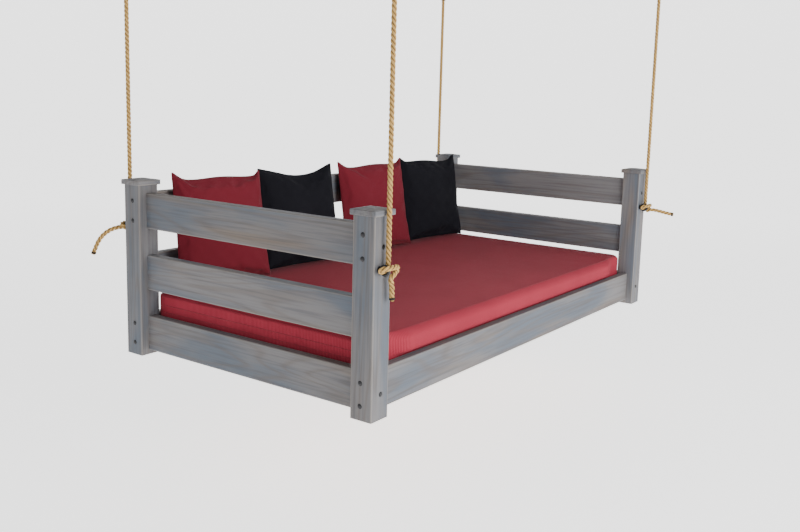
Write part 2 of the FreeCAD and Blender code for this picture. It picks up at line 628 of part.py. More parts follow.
def trunnion(name, radius, length, across, middle, height):
    """A cylinder centred on a pivot, lying along X or Y."""
    middle_x, middle_y = middle
    if across == "x":
        return rod(name, radius, length, (f"{middle_x} - ({length}) / 2", middle_y, high(height)), (1, 0, 0))
    return rod(name, radius, length, (middle_x, f"{middle_y} - ({length}) / 2", high(height)), (0, 1, 0))


def make_hangers():
    """At each corner: a ceiling bracket, a two-way swivel and the socket that grips the rope."""
    for corner, (_, side_y) in CORNERS.items():
        middle = (post_middle(corner)[0],
                  f"{side_y} * ((Dims.postSpanY + Dims.postSide) / 2 + Dims.ropeOff)")
        middle_x, middle_y = middle
        plate = ease(f"{corner}_plate_round",
                     block(f"{corner}_plate_blank", ("Dims.plateLong", "Dims.plateWide", "Dims.plateThick"),
                           (middle_x, middle_y, "-Dims.plateThick / 2")), "Dims.plateCorner", runs_along("z"))
        ears = forked_ears(f"{corner}_bracket", "y", middle, "Dims.swayHigh",
                           "(Dims.ceilingHigh - Dims.plateThick)")
        holes = [rod(f"{corner}_lag_hole_{tag}", "Dims.lagHoleRadius", "Dims.plateThick",
                     (f"{middle_x} {sign} Dims.lagSpan / 2", middle_y, "-Dims.plateThick"), (0, 0, 1))
                 for tag, sign in (("low", "-"), ("far", "+"))]
        ear_span = "Dims.earGap + 2 * Dims.earThick"
        holes.append(trunnion(f"{corner}_bracket_pin_hole", "Dims.pinHoleRadius", ear_span, "y", middle,
                              "Dims.swayHigh"))
        finish(cut(f"{corner}_bracket_cut", fuse(f"{corner}_bracket_whole", [plate] + ears), holes),
               f"{corner}_ceiling_bracket")
        web = block(f"{corner}_swivel_web",
                    ("Dims.webSide", "Dims.webSide", "Dims.swayHigh - Dims.swingHigh"),
                    (middle_x, middle_y, high("(Dims.swayHigh + Dims.swingHigh) / 2")))
        hubs = [trunnion(f"{corner}_{tag}", radius, length, across, middle, height)
                for tag, radius, length, across, height in (
                    ("sway_hub", "Dims.swivelRadius", "Dims.swivelLong", "y", "Dims.swayHigh"),
                    ("sway_pin", "Dims.pinRadius", "Dims.pinLong", "y", "Dims.swayHigh"),
                    ("swing_hub", "Dims.swivelRadius", "Dims.swivelLong", "x", "Dims.swingHigh"),
                    ("swing_pin", "Dims.pinRadius", "Dims.pinLong", "x", "Dims.swingHigh"))]
        finish(fuse(f"{corner}_swivel_whole", [web] + hubs), f"{corner}_swivel")
        yoke = block(f"{corner}_socket_yoke",
                     (ear_span, "2 * Dims.earRadius", "Dims.yokeTop - Dims.yokeFoot"),
                     (middle_x, middle_y, high("(Dims.yokeTop + Dims.yokeFoot) / 2")))
        barrel = rod(f"{corner}_socket_barrel", "Dims.barrelRadius", "Dims.yokeTop - Dims.barrelFoot",
                     (middle_x, middle_y, high("Dims.barrelFoot")), (0, 0, 1))
        bore = rod(f"{corner}_socket_bore", "Dims.boreRadius", "Dims.boreTop - Dims.barrelFoot",
                   (middle_x, middle_y, high("Dims.barrelFoot")), (0, 0, 1))
        arms = forked_ears(f"{corner}_socket", "x", middle, "Dims.swingHigh", "Dims.yokeTop")
        pin_hole = trunnion(f"{corner}_socket_pin_hole", "Dims.pinHoleRadius", ear_span, "x", middle,
                            "Dims.swingHigh")
        finish(cut(f"{corner}_socket_cut", fuse(f"{corner}_socket_whole", [yoke, barrel] + arms),
                   [bore, pin_hole]), f"{corner}_rope_socket")


def check_all():
    """Stop if any object failed, or if a sub-part's shape is null or not valid."""
    for obj in doc.Objects:
        if "Invalid" in obj.State or "Error" in obj.State:
            raise RuntimeError(f"{obj.Name} failed: {obj.State} {obj.getStatusString()}")
    for obj in sub_parts:
        if obj.Shape.isNull() or not obj.Shape.isValid():
            raise RuntimeError(f"{obj.Label} has no valid shape")


def write_all():
    """Write each sub-part's shape under its own name."""
    os.makedirs("parts", exist_ok=True)
    for obj in sub_parts:
        obj.Shape.exportStep(f"parts/{obj.Label}.step")
    print(len(sub_parts), "sub-parts written")


def main():
    """Build the whole daybed from the sheet."""
    fill_sheet()
    twin, single = make_tenons()
    pins, ends = make_bolt_holes()
    make_posts(twin, single, pins, ends)
    make_caps()
    make_end_rails(twin, pins, ends)
    make_long_rails(single, ends)
    make_ledgers()
    make_slats()
    make_fasteners()
    make_mattress()
    make_pillows()
    make_ropes()
    make_hangers()
    doc.recompute()
    check_all()
    write_all()


main()
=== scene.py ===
"""Looks of the rope-hung timber daybed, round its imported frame. Metres, +Z up, origin at the ceiling."""
import math
import random

import bmesh
import bpy
import numpy as np
from bpy.props import FloatProperty, FloatVectorProperty, IntProperty, PointerProperty
from bpy.types import Operator, Panel, PropertyGroup
from mathutils import Matrix, Vector
from mathutils.bvhtree import BVHTree


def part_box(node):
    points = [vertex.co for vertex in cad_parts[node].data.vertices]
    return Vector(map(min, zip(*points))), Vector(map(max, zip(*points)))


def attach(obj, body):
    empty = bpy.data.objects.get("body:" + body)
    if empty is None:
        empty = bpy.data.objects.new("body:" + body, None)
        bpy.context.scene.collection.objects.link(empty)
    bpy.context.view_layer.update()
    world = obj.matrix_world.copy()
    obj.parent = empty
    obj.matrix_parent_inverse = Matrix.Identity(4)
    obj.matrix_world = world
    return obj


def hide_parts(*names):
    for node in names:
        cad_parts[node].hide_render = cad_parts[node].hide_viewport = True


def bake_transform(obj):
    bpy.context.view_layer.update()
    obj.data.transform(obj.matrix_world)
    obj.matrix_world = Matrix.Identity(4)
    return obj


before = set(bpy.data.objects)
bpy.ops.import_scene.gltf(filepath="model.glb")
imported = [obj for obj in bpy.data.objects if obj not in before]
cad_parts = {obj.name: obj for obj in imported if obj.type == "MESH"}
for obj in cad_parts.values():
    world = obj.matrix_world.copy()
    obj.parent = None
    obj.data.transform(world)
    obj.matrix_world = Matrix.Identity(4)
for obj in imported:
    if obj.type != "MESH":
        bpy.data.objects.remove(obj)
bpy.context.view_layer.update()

bl_info = {
    "name": "Rope-hung daybed",
    "version": (1, 0, 0),
    "blender": (4, 5, 0),
    "location": "3D View > Sidebar > Daybed",
    "description": "Ropes, cushions, timber and hardware finishes for a hanging daybed",
    "category": "Object",
}

CORNERS = {"front_left": (-1, -1), "front_right": (1, -1), "back_left": (-1, 1), "back_right": (1, 1)}
POST_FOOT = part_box("front_left_post")[0][2]
POST_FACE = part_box("back_left_post")[1][1]
POST_MIDDLE = (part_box("back_right_post")[0][0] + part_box("back_right_post")[1][0]) / 2
ROPE_RADIUS = (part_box("front_left_rope_span")[1][0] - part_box("front_left_rope_span")[0][0]) / 2
ROPE_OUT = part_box("back_left_rope_span")[1][1] - POST_FACE - ROPE_RADIUS
HITCH_HEIGHT = (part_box("front_left_rope_knot")[0][2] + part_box("front_left_rope_knot")[1][2]) / 2
TOP_CUT = 0.019          # a rope starts this far below its solid's top, still inside the socket
ROPE_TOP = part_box("front_left_rope_span")[1][2] - TOP_CUT
FOOT_TUCK = 0.004        # how far the hanging rope runs on below the hitch's height
TWINE_RADIUS = 0.0009
CAMERA_PLACE = (-3.3431, -2.3298, -0.6582)
CAMERA_YAW, CAMERA_PITCH, CAMERA_ROLL = 0.95774, -0.15534, 0.028
CAMERA_LENS, CAMERA_SHIFT = 40.70, (-0.01995, -0.0471)
# each lamp's place, the point it faces and its size
LAMPS = {"key_light": ((-0.9, -4.9, -0.2), (0.0, 0.0, -1.5), 3.0),
         "end_light": ((-4.2, 0.6, 0.2), (-1.0, 0.0, -1.5), 2.2)}
FLOOR_GLOW = 1.9
GLOW_AHEAD = (-7.0, -1.6)    # the floor's glow comes on between these distances ahead of the origin
GLOW_ASIDE = (7.5, 11.0)     # and fades between these to either side

# scales of the timber's noises, along the grain and across it
GRAIN = {"figure": (0.55, 7.0), "streaks": (3.0, 120.0), "pores": (18.0, 620.0), "patches": (1.6, 6.5),
         "warm": (1.1, 9.0)}
CLOTH = {"quality": 6, "mass": 0.25, "tension_stiffness": 30, "compression_stiffness": 30,
         "shear_stiffness": 12, "bending_stiffness": 0.6, "air_damping": 3, "use_pressure": True}

MATTRESS_CORNER = 0.048      # radius of the mattress's corners in plan
LIP_FOOT = 0.046             # height at the mattress's foot that the front swell leaves alone
LIP_END, LIP_RUN = 0.10, 0.12    # the swell starts this far from each end and takes this long to come in
LIP_BAND = 0.03              # depth of the front band that swells
SEAM_GAP = 0.012             # distance between a welt's points
FLAP_INSET = 0.055           # the zip flap stops this far from each side
PILLOW_WIDTHS = (0.472, 0.472, 0.492, 0.490)
PILLOW_THICK, PILLOW_TALL = 0.114, 0.462
PILLOW_LEAN = math.radians(9.0)
PILLOW_TURN = math.radians(4.0)
PILLOW_ROLLS = (1.2, 0.6, -0.5, 0.8)
PILLOW_DOME, PILLOW_SAG = 0.052, 0.006       # a panel's bulge before filling, and the slump across both
PILLOW_PUCKER, PILLOW_RIPPLE = 0.0015, 0.007     # small creases in the cloth, and the wave of the top edge
SIDE_PULL, TOP_PULL, FOOT_PULL = 0.012, 0.075, 0.02  # how far each edge draws in at its middle

# A hitch from the end of the hanging rope, through the eye beside it, across the front and round to the tail.
# Each point is in millimetres: across from the post's middle, out from the post's face, above the hitch.
HITCH_ROUTE = ((4, 22, -1), (-17, 22, -2), (-30, 17, -3), (-37, 18, 2), (-37, 31, 8), (-22, 42, 10),
               (0, 44, 11), (21, 41, 10), (36, 32, 4), (37, 26, -11), (25, 25, -20))
TAIL_ROUTES = {
    "front_left": ((11, 26, -24), (12, 25, -38), (18, 25, -56), (17, 25, -76), (20, 26, -103)),
    "front_right": ((9, 31, -18), (9, 46, -11), (18, 68, -12), (33, 112, -22), (48, 155, -30)),
    "back_left": ((9, 30, -17), (-4, 42, -10), (-24, 58, -6), (-50, 86, -18), (-70, 112, -43),
                  (-84, 130, -79), (-92, 142, -119)),
    "back_right": ((9, 29, -21), (-4, 30, -27), (-13, 27, -42), (-15, 25, -66), (-19, 27, -99)),
}


# ---------------------------------------------------------------- user settings

class TimberSettings(PropertyGroup):
    """Colours and grain of the stained boards."""
    grey: FloatVectorProperty(name="Grey stain", description="Main colour of the stain", subtype="COLOR",
                              default=(0.165, 0.160, 0.163))
    blue: FloatVectorProperty(name="Blue stain", description="Colour where the stain took deepest",
                              subtype="COLOR", default=(0.102, 0.121, 0.148))
    brown: FloatVectorProperty(name="Bare grain", description="Colour of the wood that shows through",
                               subtype="COLOR", default=(0.185, 0.146, 0.116))
    # part wear, part painted highlight: the lighter colour along the eased edges
    edge_wear_and_highlight: FloatVectorProperty(name="Worn edge", description="Colour along the eased edges", subtype="COLOR",
                              default=(0.29, 0.262, 0.235))
    bare: FloatVectorProperty(name="Unstained pine", description="Colour of the slats and ledgers",
                              subtype="COLOR", default=(0.60, 0.44, 0.26))


class RopeSettings(PropertyGroup):
    """Make-up of the three-strand rope."""
    lay: FloatProperty(name="Lay length", description="Length of one full turn of a strand", unit="LENGTH",
                       default=0.052)
    spread: FloatProperty(name="Strand offset", default=0.47,
                          description="Share of the radius from the middle to a strand's own middle")
    step: FloatProperty(name="Step", description="Distance between rings of the rope mesh", unit="LENGTH",
                        default=0.0035)
    sides: IntProperty(name="Sides", description="Points round the rope's section", default=33)
    fibre: FloatVectorProperty(name="Fibre", description="Colour of the yarns", subtype="COLOR",
                               default=(0.62, 0.385, 0.125))
    # painted shade and dirt in the grooves between the strands
    groove_shade_and_dirt: FloatVectorProperty(name="Groove", description="Colour between the strands", subtype="COLOR",
                                default=(0.19, 0.095, 0.028))


class SoftSettings(PropertyGroup):
    """Sizes and colours of the mattress and the pillows."""
    burgundy: FloatVectorProperty(name="Mattress cover", description="Colour of the ribbed cover",
                                  subtype="COLOR", default=(0.33, 0.028, 0.048))
    red: FloatVectorProperty(name="Red pillows", description="Colour of the red cotton",
                             subtype="COLOR", default=(0.19, 0.0165, 0.029))
    black: FloatVectorProperty(name="Black pillows", description="Colour of the black cotton",
                               subtype="COLOR", default=(0.0085, 0.0085, 0.0125))
    pressure: FloatProperty(name="Filling pressure", description="How hard the filling pushes on the cloth",
                            default=4.0)
    frames: IntProperty(name="Settling frames", description="Frames the cloth is given to settle", default=22)
    pillow_side: FloatProperty(name="Pillow side", description="Side of each flat square panel",
                               unit="LENGTH", default=0.52)
    pillow_give: FloatProperty(name="Pillow give", unit="LENGTH", default=0.022,
                               description="Furthest a pillow's cloth may move as it fills")
    pillow_cells: IntProperty(name="Pillow cells", description="Cells along each side of a panel", default=56)
    mattress_voxel: FloatProperty(name="Mattress cell", description="Cell size of the mattress mesh",
                                  unit="LENGTH", default=0.016)
    mattress_swell: FloatProperty(name="Mattress swell", unit="LENGTH", default=0.007,
                                  description="Furthest the cover may move as it fills")
    mattress_lip: FloatProperty(name="Front swell", unit="LENGTH", default=0.026,
                                description="How far the front swells out over the apron")


class StageSettings(PropertyGroup):
    """Floor and light."""
    clearance: FloatProperty(name="Clearance", description="Gap from the post feet to the floor",
                             unit="LENGTH", default=0.42)
    sweep: FloatProperty(name="Backdrop sweep", unit="LENGTH", default=4.0,
                         description="Radius of the floor's sweep up into the backdrop")
    key: FloatProperty(name="Key light", description="Power of the front light", unit="POWER",
                       default=275.0)
    fill: FloatProperty(name="Fill light", description="Power of the end light", unit="POWER", default=10.0)
    sky: FloatProperty(name="Surround", description="Strength of the white surround", default=0.34)


# ---------------------------------------------------------------- shader building

class Value:
    """A socket on which arithmetic adds Math nodes."""

    def __init__(self, graph, socket):
        self.graph = graph
        self.socket = socket

    def _math(self, operation, first, second=None, third=None):
        inputs = {0: first}
        if second is not None:
            inputs[1] = second
        if third is not None:
            inputs[2] = third
        return self.graph.node("ShaderNodeMath", {"operation": operation}, inputs)

    def __add__(self, other):
        return self._math("ADD", self, other)

    __radd__ = __add__

    def __sub__(self, other):
        return self._math("SUBTRACT", self, other)

    def __rsub__(self, other):
        return self._math("SUBTRACT", other, self)

    def __mul__(self, other):
        return self._math("MULTIPLY", self, other)

    __rmul__ = __mul__

    def __truediv__(self, other):
        return self._math("DIVIDE", self, other)

    def __abs__(self):
        return self._math("ABSOLUTE", self)

    def sine(self):
        return self._math("SINE", self)

    def cosine(self):
        return self._math("COSINE", self)

    def power(self, exponent):
        return self._math("POWER", self, exponent)

    def least(self, other):
        return self._math("MINIMUM", self, other)

    def angle_from(self, across):
        return self._math("ARCTAN2", self, across)

    def wrapped(self, low, high):
        """Brought back between two bounds by whole turns."""
        return self._math("WRAP", self, high, low)

    def ramp(self, low, high):
        """0 at low, 1 at high, eased between."""
        return self.graph.node("ShaderNodeMapRange", {"interpolation_type": "SMOOTHSTEP"},
                              {"Value": self, "From Min": low, "From Max": high})


class Graph:
    """A node tree under construction."""

    def node(self, kind, settings=None, inputs=None, output=0):
        """Add a node, set it up, then feed its sockets with values or links."""
        made = self.tree.nodes.new(kind)
        for name, setting in (settings or {}).items():
            setattr(made, name, setting)
        for key, given in (inputs or {}).items():
            self.feed(made.inputs[key], given)
        return Value(self, made.outputs[output])

    def feed(self, socket, given):
        """Link a value to a socket, or set the socket's own value."""
        if isinstance(given, Value):
            self.tree.links.new(given.socket, socket)
        elif socket.type == "RGBA" and len(given) == 3:
            socket.default_value = (*given, 1.0)
        else:
            socket.default_value = given

    def parts(self, vector):
        """The three parts of a vector."""
        made = self.tree.nodes.new("ShaderNodeSeparateXYZ")
        self.feed(made.inputs[0], vector)
        return [Value(self, socket) for socket in made.outputs]


class Look(Graph):
    """A material under construction round one Principled shader."""

    def __init__(self, name):
        self.material = bpy.data.materials.new(name)
        self.material.use_nodes = True
        self.tree = self.material.node_tree
        self.shader = self.tree.nodes["Principled BSDF"]

    def noise(self, where, scale, detail=3.0, roughness=0.5, distortion=0.0):
        return self.node("ShaderNodeTexNoise", None, {
            "Vector": where, "Scale": scale, "Detail": detail, "Roughness": roughness,
            "Distortion": distortion})

    def mapped(self, where, place=(0, 0, 0), scale=(1, 1, 1)):
        return self.node("ShaderNodeMapping", None, {"Vector": where, "Location": place, "Scale": scale})

    def mix(self, share, first, second, blend="MIX"):
        """Blend two colours by a share."""
        return self.node("ShaderNodeMix", {"data_type": "RGBA", "blend_type": blend},
                         {0: share, 6: first, 7: second}, output=2)

    def bump(self, height, distance, strength=1.0):
        return self.node("ShaderNodeBump", None,
                         {"Height": height, "Distance": distance, "Strength": strength})

    def finish(self, **sockets):
        """Feed the shader and hand over the material."""
        for name, given in sockets.items():
            self.feed(self.shader.inputs[name.replace("_", " ").title().replace("Ior", "IOR")], given)
        return self.material


def stretched(along, on_grain, off_grain):
    """One scale along the grain and another on the two axes across it."""
    return tuple(on_grain if axis == along else off_grain for axis in range(3))


def timber_look(name, low, high, along, seed, stained=True):
    """Boards of stained pine: grain along one axis, blue and brown patches, and lighter eased edges that are
    part wear and part painted highlight.
    """
    colours = bpy.context.scene.daybed_timber
    chance = random.Random(seed)
    look = Look(name)
    where = look.node("ShaderNodeTexCoord", output="Object")
    offset = [chance.uniform(-9, 9) for _ in range(3)]
    tone = chance.uniform(0.92, 1.08)

    def grained(kind, start, *shape):
        """A noise drawn out along the board."""
        return look.noise(look.mapped(where, start, stretched(along, *GRAIN[kind])), 1.0, *shape)

    # growth rings: level lines of a stretched noise make the long cathedral figure of a flat-sawn board
    figure = grained("figure", offset, 1.5, 0.4, 0.35)
    rings = (figure * chance.uniform(70, 95)).sine() * 0.5 + 0.5
    late = rings.power(4.0)
    streaks = grained("streaks", offset, 4.0, 0.6)
    pores = grained("pores", offset, 2.0, 0.6)
    patches = grained("patches", offset, 3.0, 0.55, 0.4)
    warm = grained("warm", offset[::-1], 3.0, 0.55, 0.3)
    if stained:
        ground = look.mix(patches.ramp(0.42, 0.66), tuple(colours.grey), tuple(colours.blue))
        ground = look.mix(warm.ramp(0.52, 0.74) * 0.75, ground, tuple(colours.brown))
        ground = look.mix(late * 0.36, ground, tuple(part * 0.62 for part in colours.brown))
    else:
        ground = look.mix(late * 0.5, tuple(colours.bare), tuple(part * 0.55 for part in colours.bare))
    dark = (0.085, 0.084, 0.092) if stained else (0.30, 0.20, 0.10)
    ground = look.mix(streaks.ramp(0.42, 0.68) * 0.5, ground, dark)
    ground = look.mix(pores.ramp(0.54, 0.74) * 0.4, ground, tuple(part * 0.8 for part in colours.brown))
    middle = [(a + b) / 2 for a, b in zip(low, high)]
    half = [(b - a) / 2 for a, b in zip(low, high)]
    inside = look.node("ShaderNodeVectorMath", {"operation": "SUBTRACT"}, {0: where, 1: middle})
    depth = [abs(part) - size for part, size in zip(look.parts(inside), half)]
    across, up = [depth[axis] for axis in range(3) if axis != along]
    # part wear, part painted highlight: the colour lightens towards each board's eased edges
    edge_wear_and_highlight = (across.least(up) + streaks * 0.004).ramp(-0.0055, 0.0005)
    if stained:
        ground = look.mix(edge_wear_and_highlight * 0.38, ground, tuple(colours.edge_wear_and_highlight))
    ground = look.mix(1.0, ground, (tone, tone, tone), "MULTIPLY")
    height = streaks * 0.3 + pores * 0.3 + late * 0.2
    return look.finish(base_color=ground, roughness=0.6 + streaks * 0.2 - edge_wear_and_highlight * 0.05,
                       normal=look.bump(height, 0.0005, 0.8), specular_ior_level=0.2)


def rope_look():
    """Tan laid rope: yarns nearly in line with the rope, painted shade and dirt in the grooves between
    strands, stray pale fibres.
    """
    rope = bpy.context.scene.daybed_rope
    look = Look("tan_laid_rope")
    around = look.parts(look.node("ShaderNodeAttribute", {"attribute_name": "around"}, output="Vector"))
    along = look.node("ShaderNodeAttribute", {"attribute_name": "along"}, output="Fac")
    where = look.node("ShaderNodeTexCoord", output="Object")
    angle = around[1].angle_from(around[0])
    crown = (angle * 3.0).cosine() * 0.5 + 0.5
    turn = angle - along * (2 * math.pi / rope.lay)
    yarns = (turn * 40.0 + along * 330.0).sine() * 0.5 + 0.5
    fine = look.noise(where, 900.0, 3.0, 0.6)
    patch = look.noise(where, 45.0, 3.0, 0.6)
    # painted shade and dirt: the colour darkens from the crown of each strand down into the grooves between
    # strands
    colour = look.mix(crown.ramp(0.02, 0.55), tuple(rope.groove_shade_and_dirt), tuple(rope.fibre))
    colour = look.mix(yarns * 0.28, colour, tuple(part * 0.6 for part in rope.fibre))
    colour = look.mix(patch.ramp(0.5, 0.75) * 0.45, colour, tuple(min(1, part * 1.45) for part in rope.fibre))
    height = yarns * 0.7 + fine * 0.5
    return look.finish(base_color=colour, roughness=0.62 + fine * 0.25, normal=look.bump(height, 0.0009),
                       sheen_weight=0.05, specular_ior_level=0.2)


def cloth_look(name, colour, period, ribbed, sheen, seed):
    """Woven cloth on the piece's own map, in metres: crossed threads, or ribs where ribbed is set.

    Welts, seams and twine are tubes with no map, and show plain cloth.
    """
    look = Look(name)
    place = look.node("ShaderNodeUVMap", {"uv_map": "cloth"})
    run, rise, _ = look.parts(place)
    where = look.node("ShaderNodeTexCoord", output="Object")
    turns = 2 * math.pi / period
    warp = (run * turns).sine() * 0.5 + 0.5
    weft = (rise * turns * (0.35 if ribbed else 1.0)).sine() * 0.5 + 0.5
    slub = look.noise(look.mapped(place, (seed, 0, 0), (60.0, 900.0, 1.0)), 1.0, 3.0, 0.6)
    cast = look.noise(where, 5.0, 3.0, 0.55)
    fluff = look.noise(where, 700.0, 2.0, 0.6)
    height = warp * 0.9 + weft * 0.04 if ribbed else warp * weft
    dark = tuple(part * 0.62 for part in colour)
    light = tuple(min(1, part * 1.22 + 0.006) for part in colour)
    # painted shade and highlight of the weave: darker in its hollows and lighter on its ridges, from the same
    # height as the bump
    shade = look.mix(height * (0.75 if ribbed else 0.55) + slub * 0.2, dark, light)
    shade = look.mix(cast.ramp(0.35, 0.7) * 0.28, shade, dark)
    return look.finish(base_color=shade, roughness=0.74 + fluff * 0.2,
                       normal=look.bump(height + fluff * 0.35, period * 0.16), sheen_weight=sheen,
                       sheen_roughness=0.45, specular_ior_level=0.08)


def metal_look(name, colour, roughness, metallic, scale):
    """Coated or plated steel with fine orange peel and a few rubbed spots."""
    look = Look(name)
    where = look.node("ShaderNodeTexCoord", output="Object")
    peel = look.noise(where, scale, 3.0, 0.55)
    rubbed = look.noise(where, 70.0, 4.0, 0.6).ramp(0.60, 0.78)
    shade = look.mix(rubbed * 0.5, colour, tuple(min(1, part * 3 + 0.03) for part in colour))
    return look.finish(base_color=shade, roughness=roughness + peel * 0.18 - rubbed * 0.12, metallic=metallic,
                       normal=look.bump(peel, 0.00025))


def floor_look():
    """A pale floor and surround that glow a little, and less behind the camera."""
    look = Look("pale_floor")
    where = look.node("ShaderNodeTexCoord", output="Object")
    across, deep, _ = look.parts(where)
    ahead = across * math.sin(CAMERA_YAW) + deep * math.cos(CAMERA_YAW)
    grain = look.noise(where, 3.0, 2.0)
    aside = across * math.cos(CAMERA_YAW) - deep * math.sin(CAMERA_YAW)
    lit = ahead.ramp(*GLOW_AHEAD) * (1.0 - abs(aside).ramp(*GLOW_ASIDE))
    glow = look.mix(lit, (0.10, 0.10, 0.10), (1.0, 1.0, 1.0))
    return look.finish(base_color=(0.6, 0.6, 0.6), roughness=0.85 + grain * 0.1, emission_color=glow,
                       emission_strength=FLOOR_GLOW, specular_ior_level=0.0)


# ---------------------------------------------------------------- mesh helpers

def new_object(name, mesh):
    """Put a mesh or a curve in the scene at the origin."""
    made = bpy.data.objects.new(name, mesh)
    bpy.context.scene.collection.objects.link(made)
    return made


def evaluated_mesh(source):
    """A mesh of what the source evaluates to, modifiers included."""
    bpy.context.view_layer.update()
    graph = bpy.context.evaluated_depsgraph_get()
    return bpy.data.meshes.new_from_object(source.evaluated_get(graph), preserve_all_data_layers=True,
                                           depsgraph=graph)


def baked(source, name):
    """A plain mesh object from what the source evaluates to; the source is removed."""
    mesh = evaluated_mesh(source)
    bpy.data.objects.remove(source)
    mesh.name = name
    return new_object(name, mesh)


def smooth(piece):
    """Smooth shading all over."""
    piece.data.polygons.foreach_set("use_smooth", [True] * len(piece.data.polygons))


def places_of(mesh):
    """The mesh's points as an array of rows."""
    rows = np.zeros(len(mesh.vertices) * 3)
    mesh.vertices.foreach_get("co", rows)
    return rows.reshape(-1, 3)


def set_places(mesh, rows):
    """Move the mesh's points to the rows given."""
    mesh.vertices.foreach_set("co", np.asarray(rows, dtype=np.float32).ravel())
    mesh.update()


def route_curve(name, points):
    """A NURBS route with the given points as its control points."""
    data = bpy.data.curves.new(name, "CURVE")
    data.dimensions = "3D"
    data.resolution_u = 24
    spline = data.splines.new("NURBS")
    spline.points.add(len(points) - 1)
    for point, place in zip(spline.points, points):
        point.co = (*place, 1.0)
    spline.order_u = 3
    spline.use_endpoint_u = True
    return new_object(name, data)


def seam_curve(name, points, cyclic):
    """A plain polyline through the given points."""
    data = bpy.data.curves.new(name, "CURVE")
    data.dimensions = "3D"
    spline = data.splines.new("POLY")
    spline.points.add(len(points) - 1)
    for point, place in zip(spline.points, points):
        point.co = (*place, 1.0)
    spline.use_cyclic_u = cyclic
    return new_object(name, data)


def centreline(route):
    """The points that a route's own line passes through."""
    mesh = evaluated_mesh(route)
    points = [tuple(vertex.co) for vertex in mesh.vertices]
    bpy.data.meshes.remove(mesh)
    return points


class Tree(Graph):
    """A Geometry Nodes group under construction."""

    def __init__(self, name, inputs):
        self.tree = bpy.data.node_groups.new(name, "GeometryNodeTree")
        self.sockets = {}
        shape = {"name": "Geometry", "socket_type": "NodeSocketGeometry"}
        self.tree.interface.new_socket(in_out="INPUT", **shape)
        for label, kind in inputs:
            made = self.tree.interface.new_socket(label, in_out="INPUT", socket_type=kind)
            self.sockets[label] = made.identifier
        self.tree.interface.new_socket(in_out="OUTPUT", **shape)
        self.entry = self.tree.nodes.new("NodeGroupInput")
        self.exit = self.tree.nodes.new("NodeGroupOutput")

    def given(self, label):
        """One of the group's named inputs."""
        return Value(self, self.entry.outputs[label])

    def finish(self, geometry):
        """Realize what the group made, give it its material and send it out."""
        real = self.node("GeometryNodeRealizeInstances", None, {0: geometry})
        dressed = self.node("GeometryNodeSetMaterial", None,
                            {"Geometry": real, "Material": self.given("Material")})
        self.feed(self.exit.inputs[0], dressed)
        return self

    def run_on(self, source, values, name):
        """Apply the group to an object with the given inputs, and bake the result."""
        modifier = source.modifiers.new("build", "NODES")
        modifier.node_group = self.tree
        for label, given in values.items():
            modifier[self.sockets[label]] = given
        piece = baked(source, name)
        smooth(piece)
        return piece


def laid_rope_tree():
    """A rope of three strands along a curve: a three-lobed section, turned once in each lay length."""
    tree = Tree("laid_rope", [("Radius", "NodeSocketFloat"), ("Strand offset", "NodeSocketFloat"),
                              ("Lay length", "NodeSocketFloat"), ("Step", "NodeSocketFloat"),
                              ("Sides", "NodeSocketInt"), ("Material", "NodeSocketMaterial")])
    spine = tree.node("GeometryNodeResampleCurve", {"mode": "LENGTH"},
                      {"Curve": tree.given("Geometry"), "Length": tree.given("Step")})
    along = tree.node("GeometryNodeSplineParameter", output="Length")
    spine = tree.node("GeometryNodeSetCurveTilt", None,
                      {"Curve": spine, "Tilt": along * (-2 * math.pi) / tree.given("Lay length")})
    spine = tree.node("GeometryNodeStoreNamedAttribute", {"data_type": "FLOAT", "domain": "POINT"},
                      {"Geometry": spine, "Name": "along", "Value": along})
    ring = tree.node("GeometryNodeCurvePrimitiveCircle", None,
                     {"Resolution": tree.given("Sides"), "Radius": 1.0})
    place = tree.node("GeometryNodeInputPosition")
    ring = tree.node("GeometryNodeStoreNamedAttribute", {"data_type": "FLOAT_VECTOR", "domain": "POINT"},
                     {"Geometry": ring, "Name": "around", "Value": place})
    # outline of three touching strands, from the rope's middle: c cos a + sqrt(s^2 - c^2 sin^2 a)
    lobe = 2 * math.pi / 3
    across, up, _ = tree.parts(place)
    turned = up.angle_from(across).wrapped(-lobe / 2, lobe / 2)
    reach = tree.given("Strand offset")
    strand = 1.0 - reach
    sideways = turned.sine() * reach
    distance = turned.cosine() * reach + (strand * strand - sideways * sideways).power(0.5)
    outline = tree.node("ShaderNodeVectorMath", {"operation": "SCALE"},
                        {0: place, "Scale": distance * tree.given("Radius")})
    ring = tree.node("GeometryNodeSetPosition", None, {"Geometry": ring, "Position": outline})
    return tree.finish(tree.node("GeometryNodeCurveToMesh", None,
                                 {"Curve": spine, "Profile Curve": ring, "Fill Caps": True}))


def round_tree():
    """A round tube along a curve, for welts, seams and twine."""
    tree = Tree("round_tube", [("Radius", "NodeSocketFloat"), ("Step", "NodeSocketFloat"),
                               ("Sides", "NodeSocketInt"), ("Material", "NodeSocketMaterial")])
    spine = tree.node("GeometryNodeResampleCurve", {"mode": "LENGTH"},
                      {"Curve": tree.given("Geometry"), "Length": tree.given("Step")})
    ring = tree.node("GeometryNodeCurvePrimitiveCircle", None,
                     {"Resolution": tree.given("Sides"), "Radius": tree.given("Radius")})
    return tree.finish(tree.node("GeometryNodeCurveToMesh", None,
                                 {"Curve": spine, "Profile Curve": ring, "Fill Caps": True}))


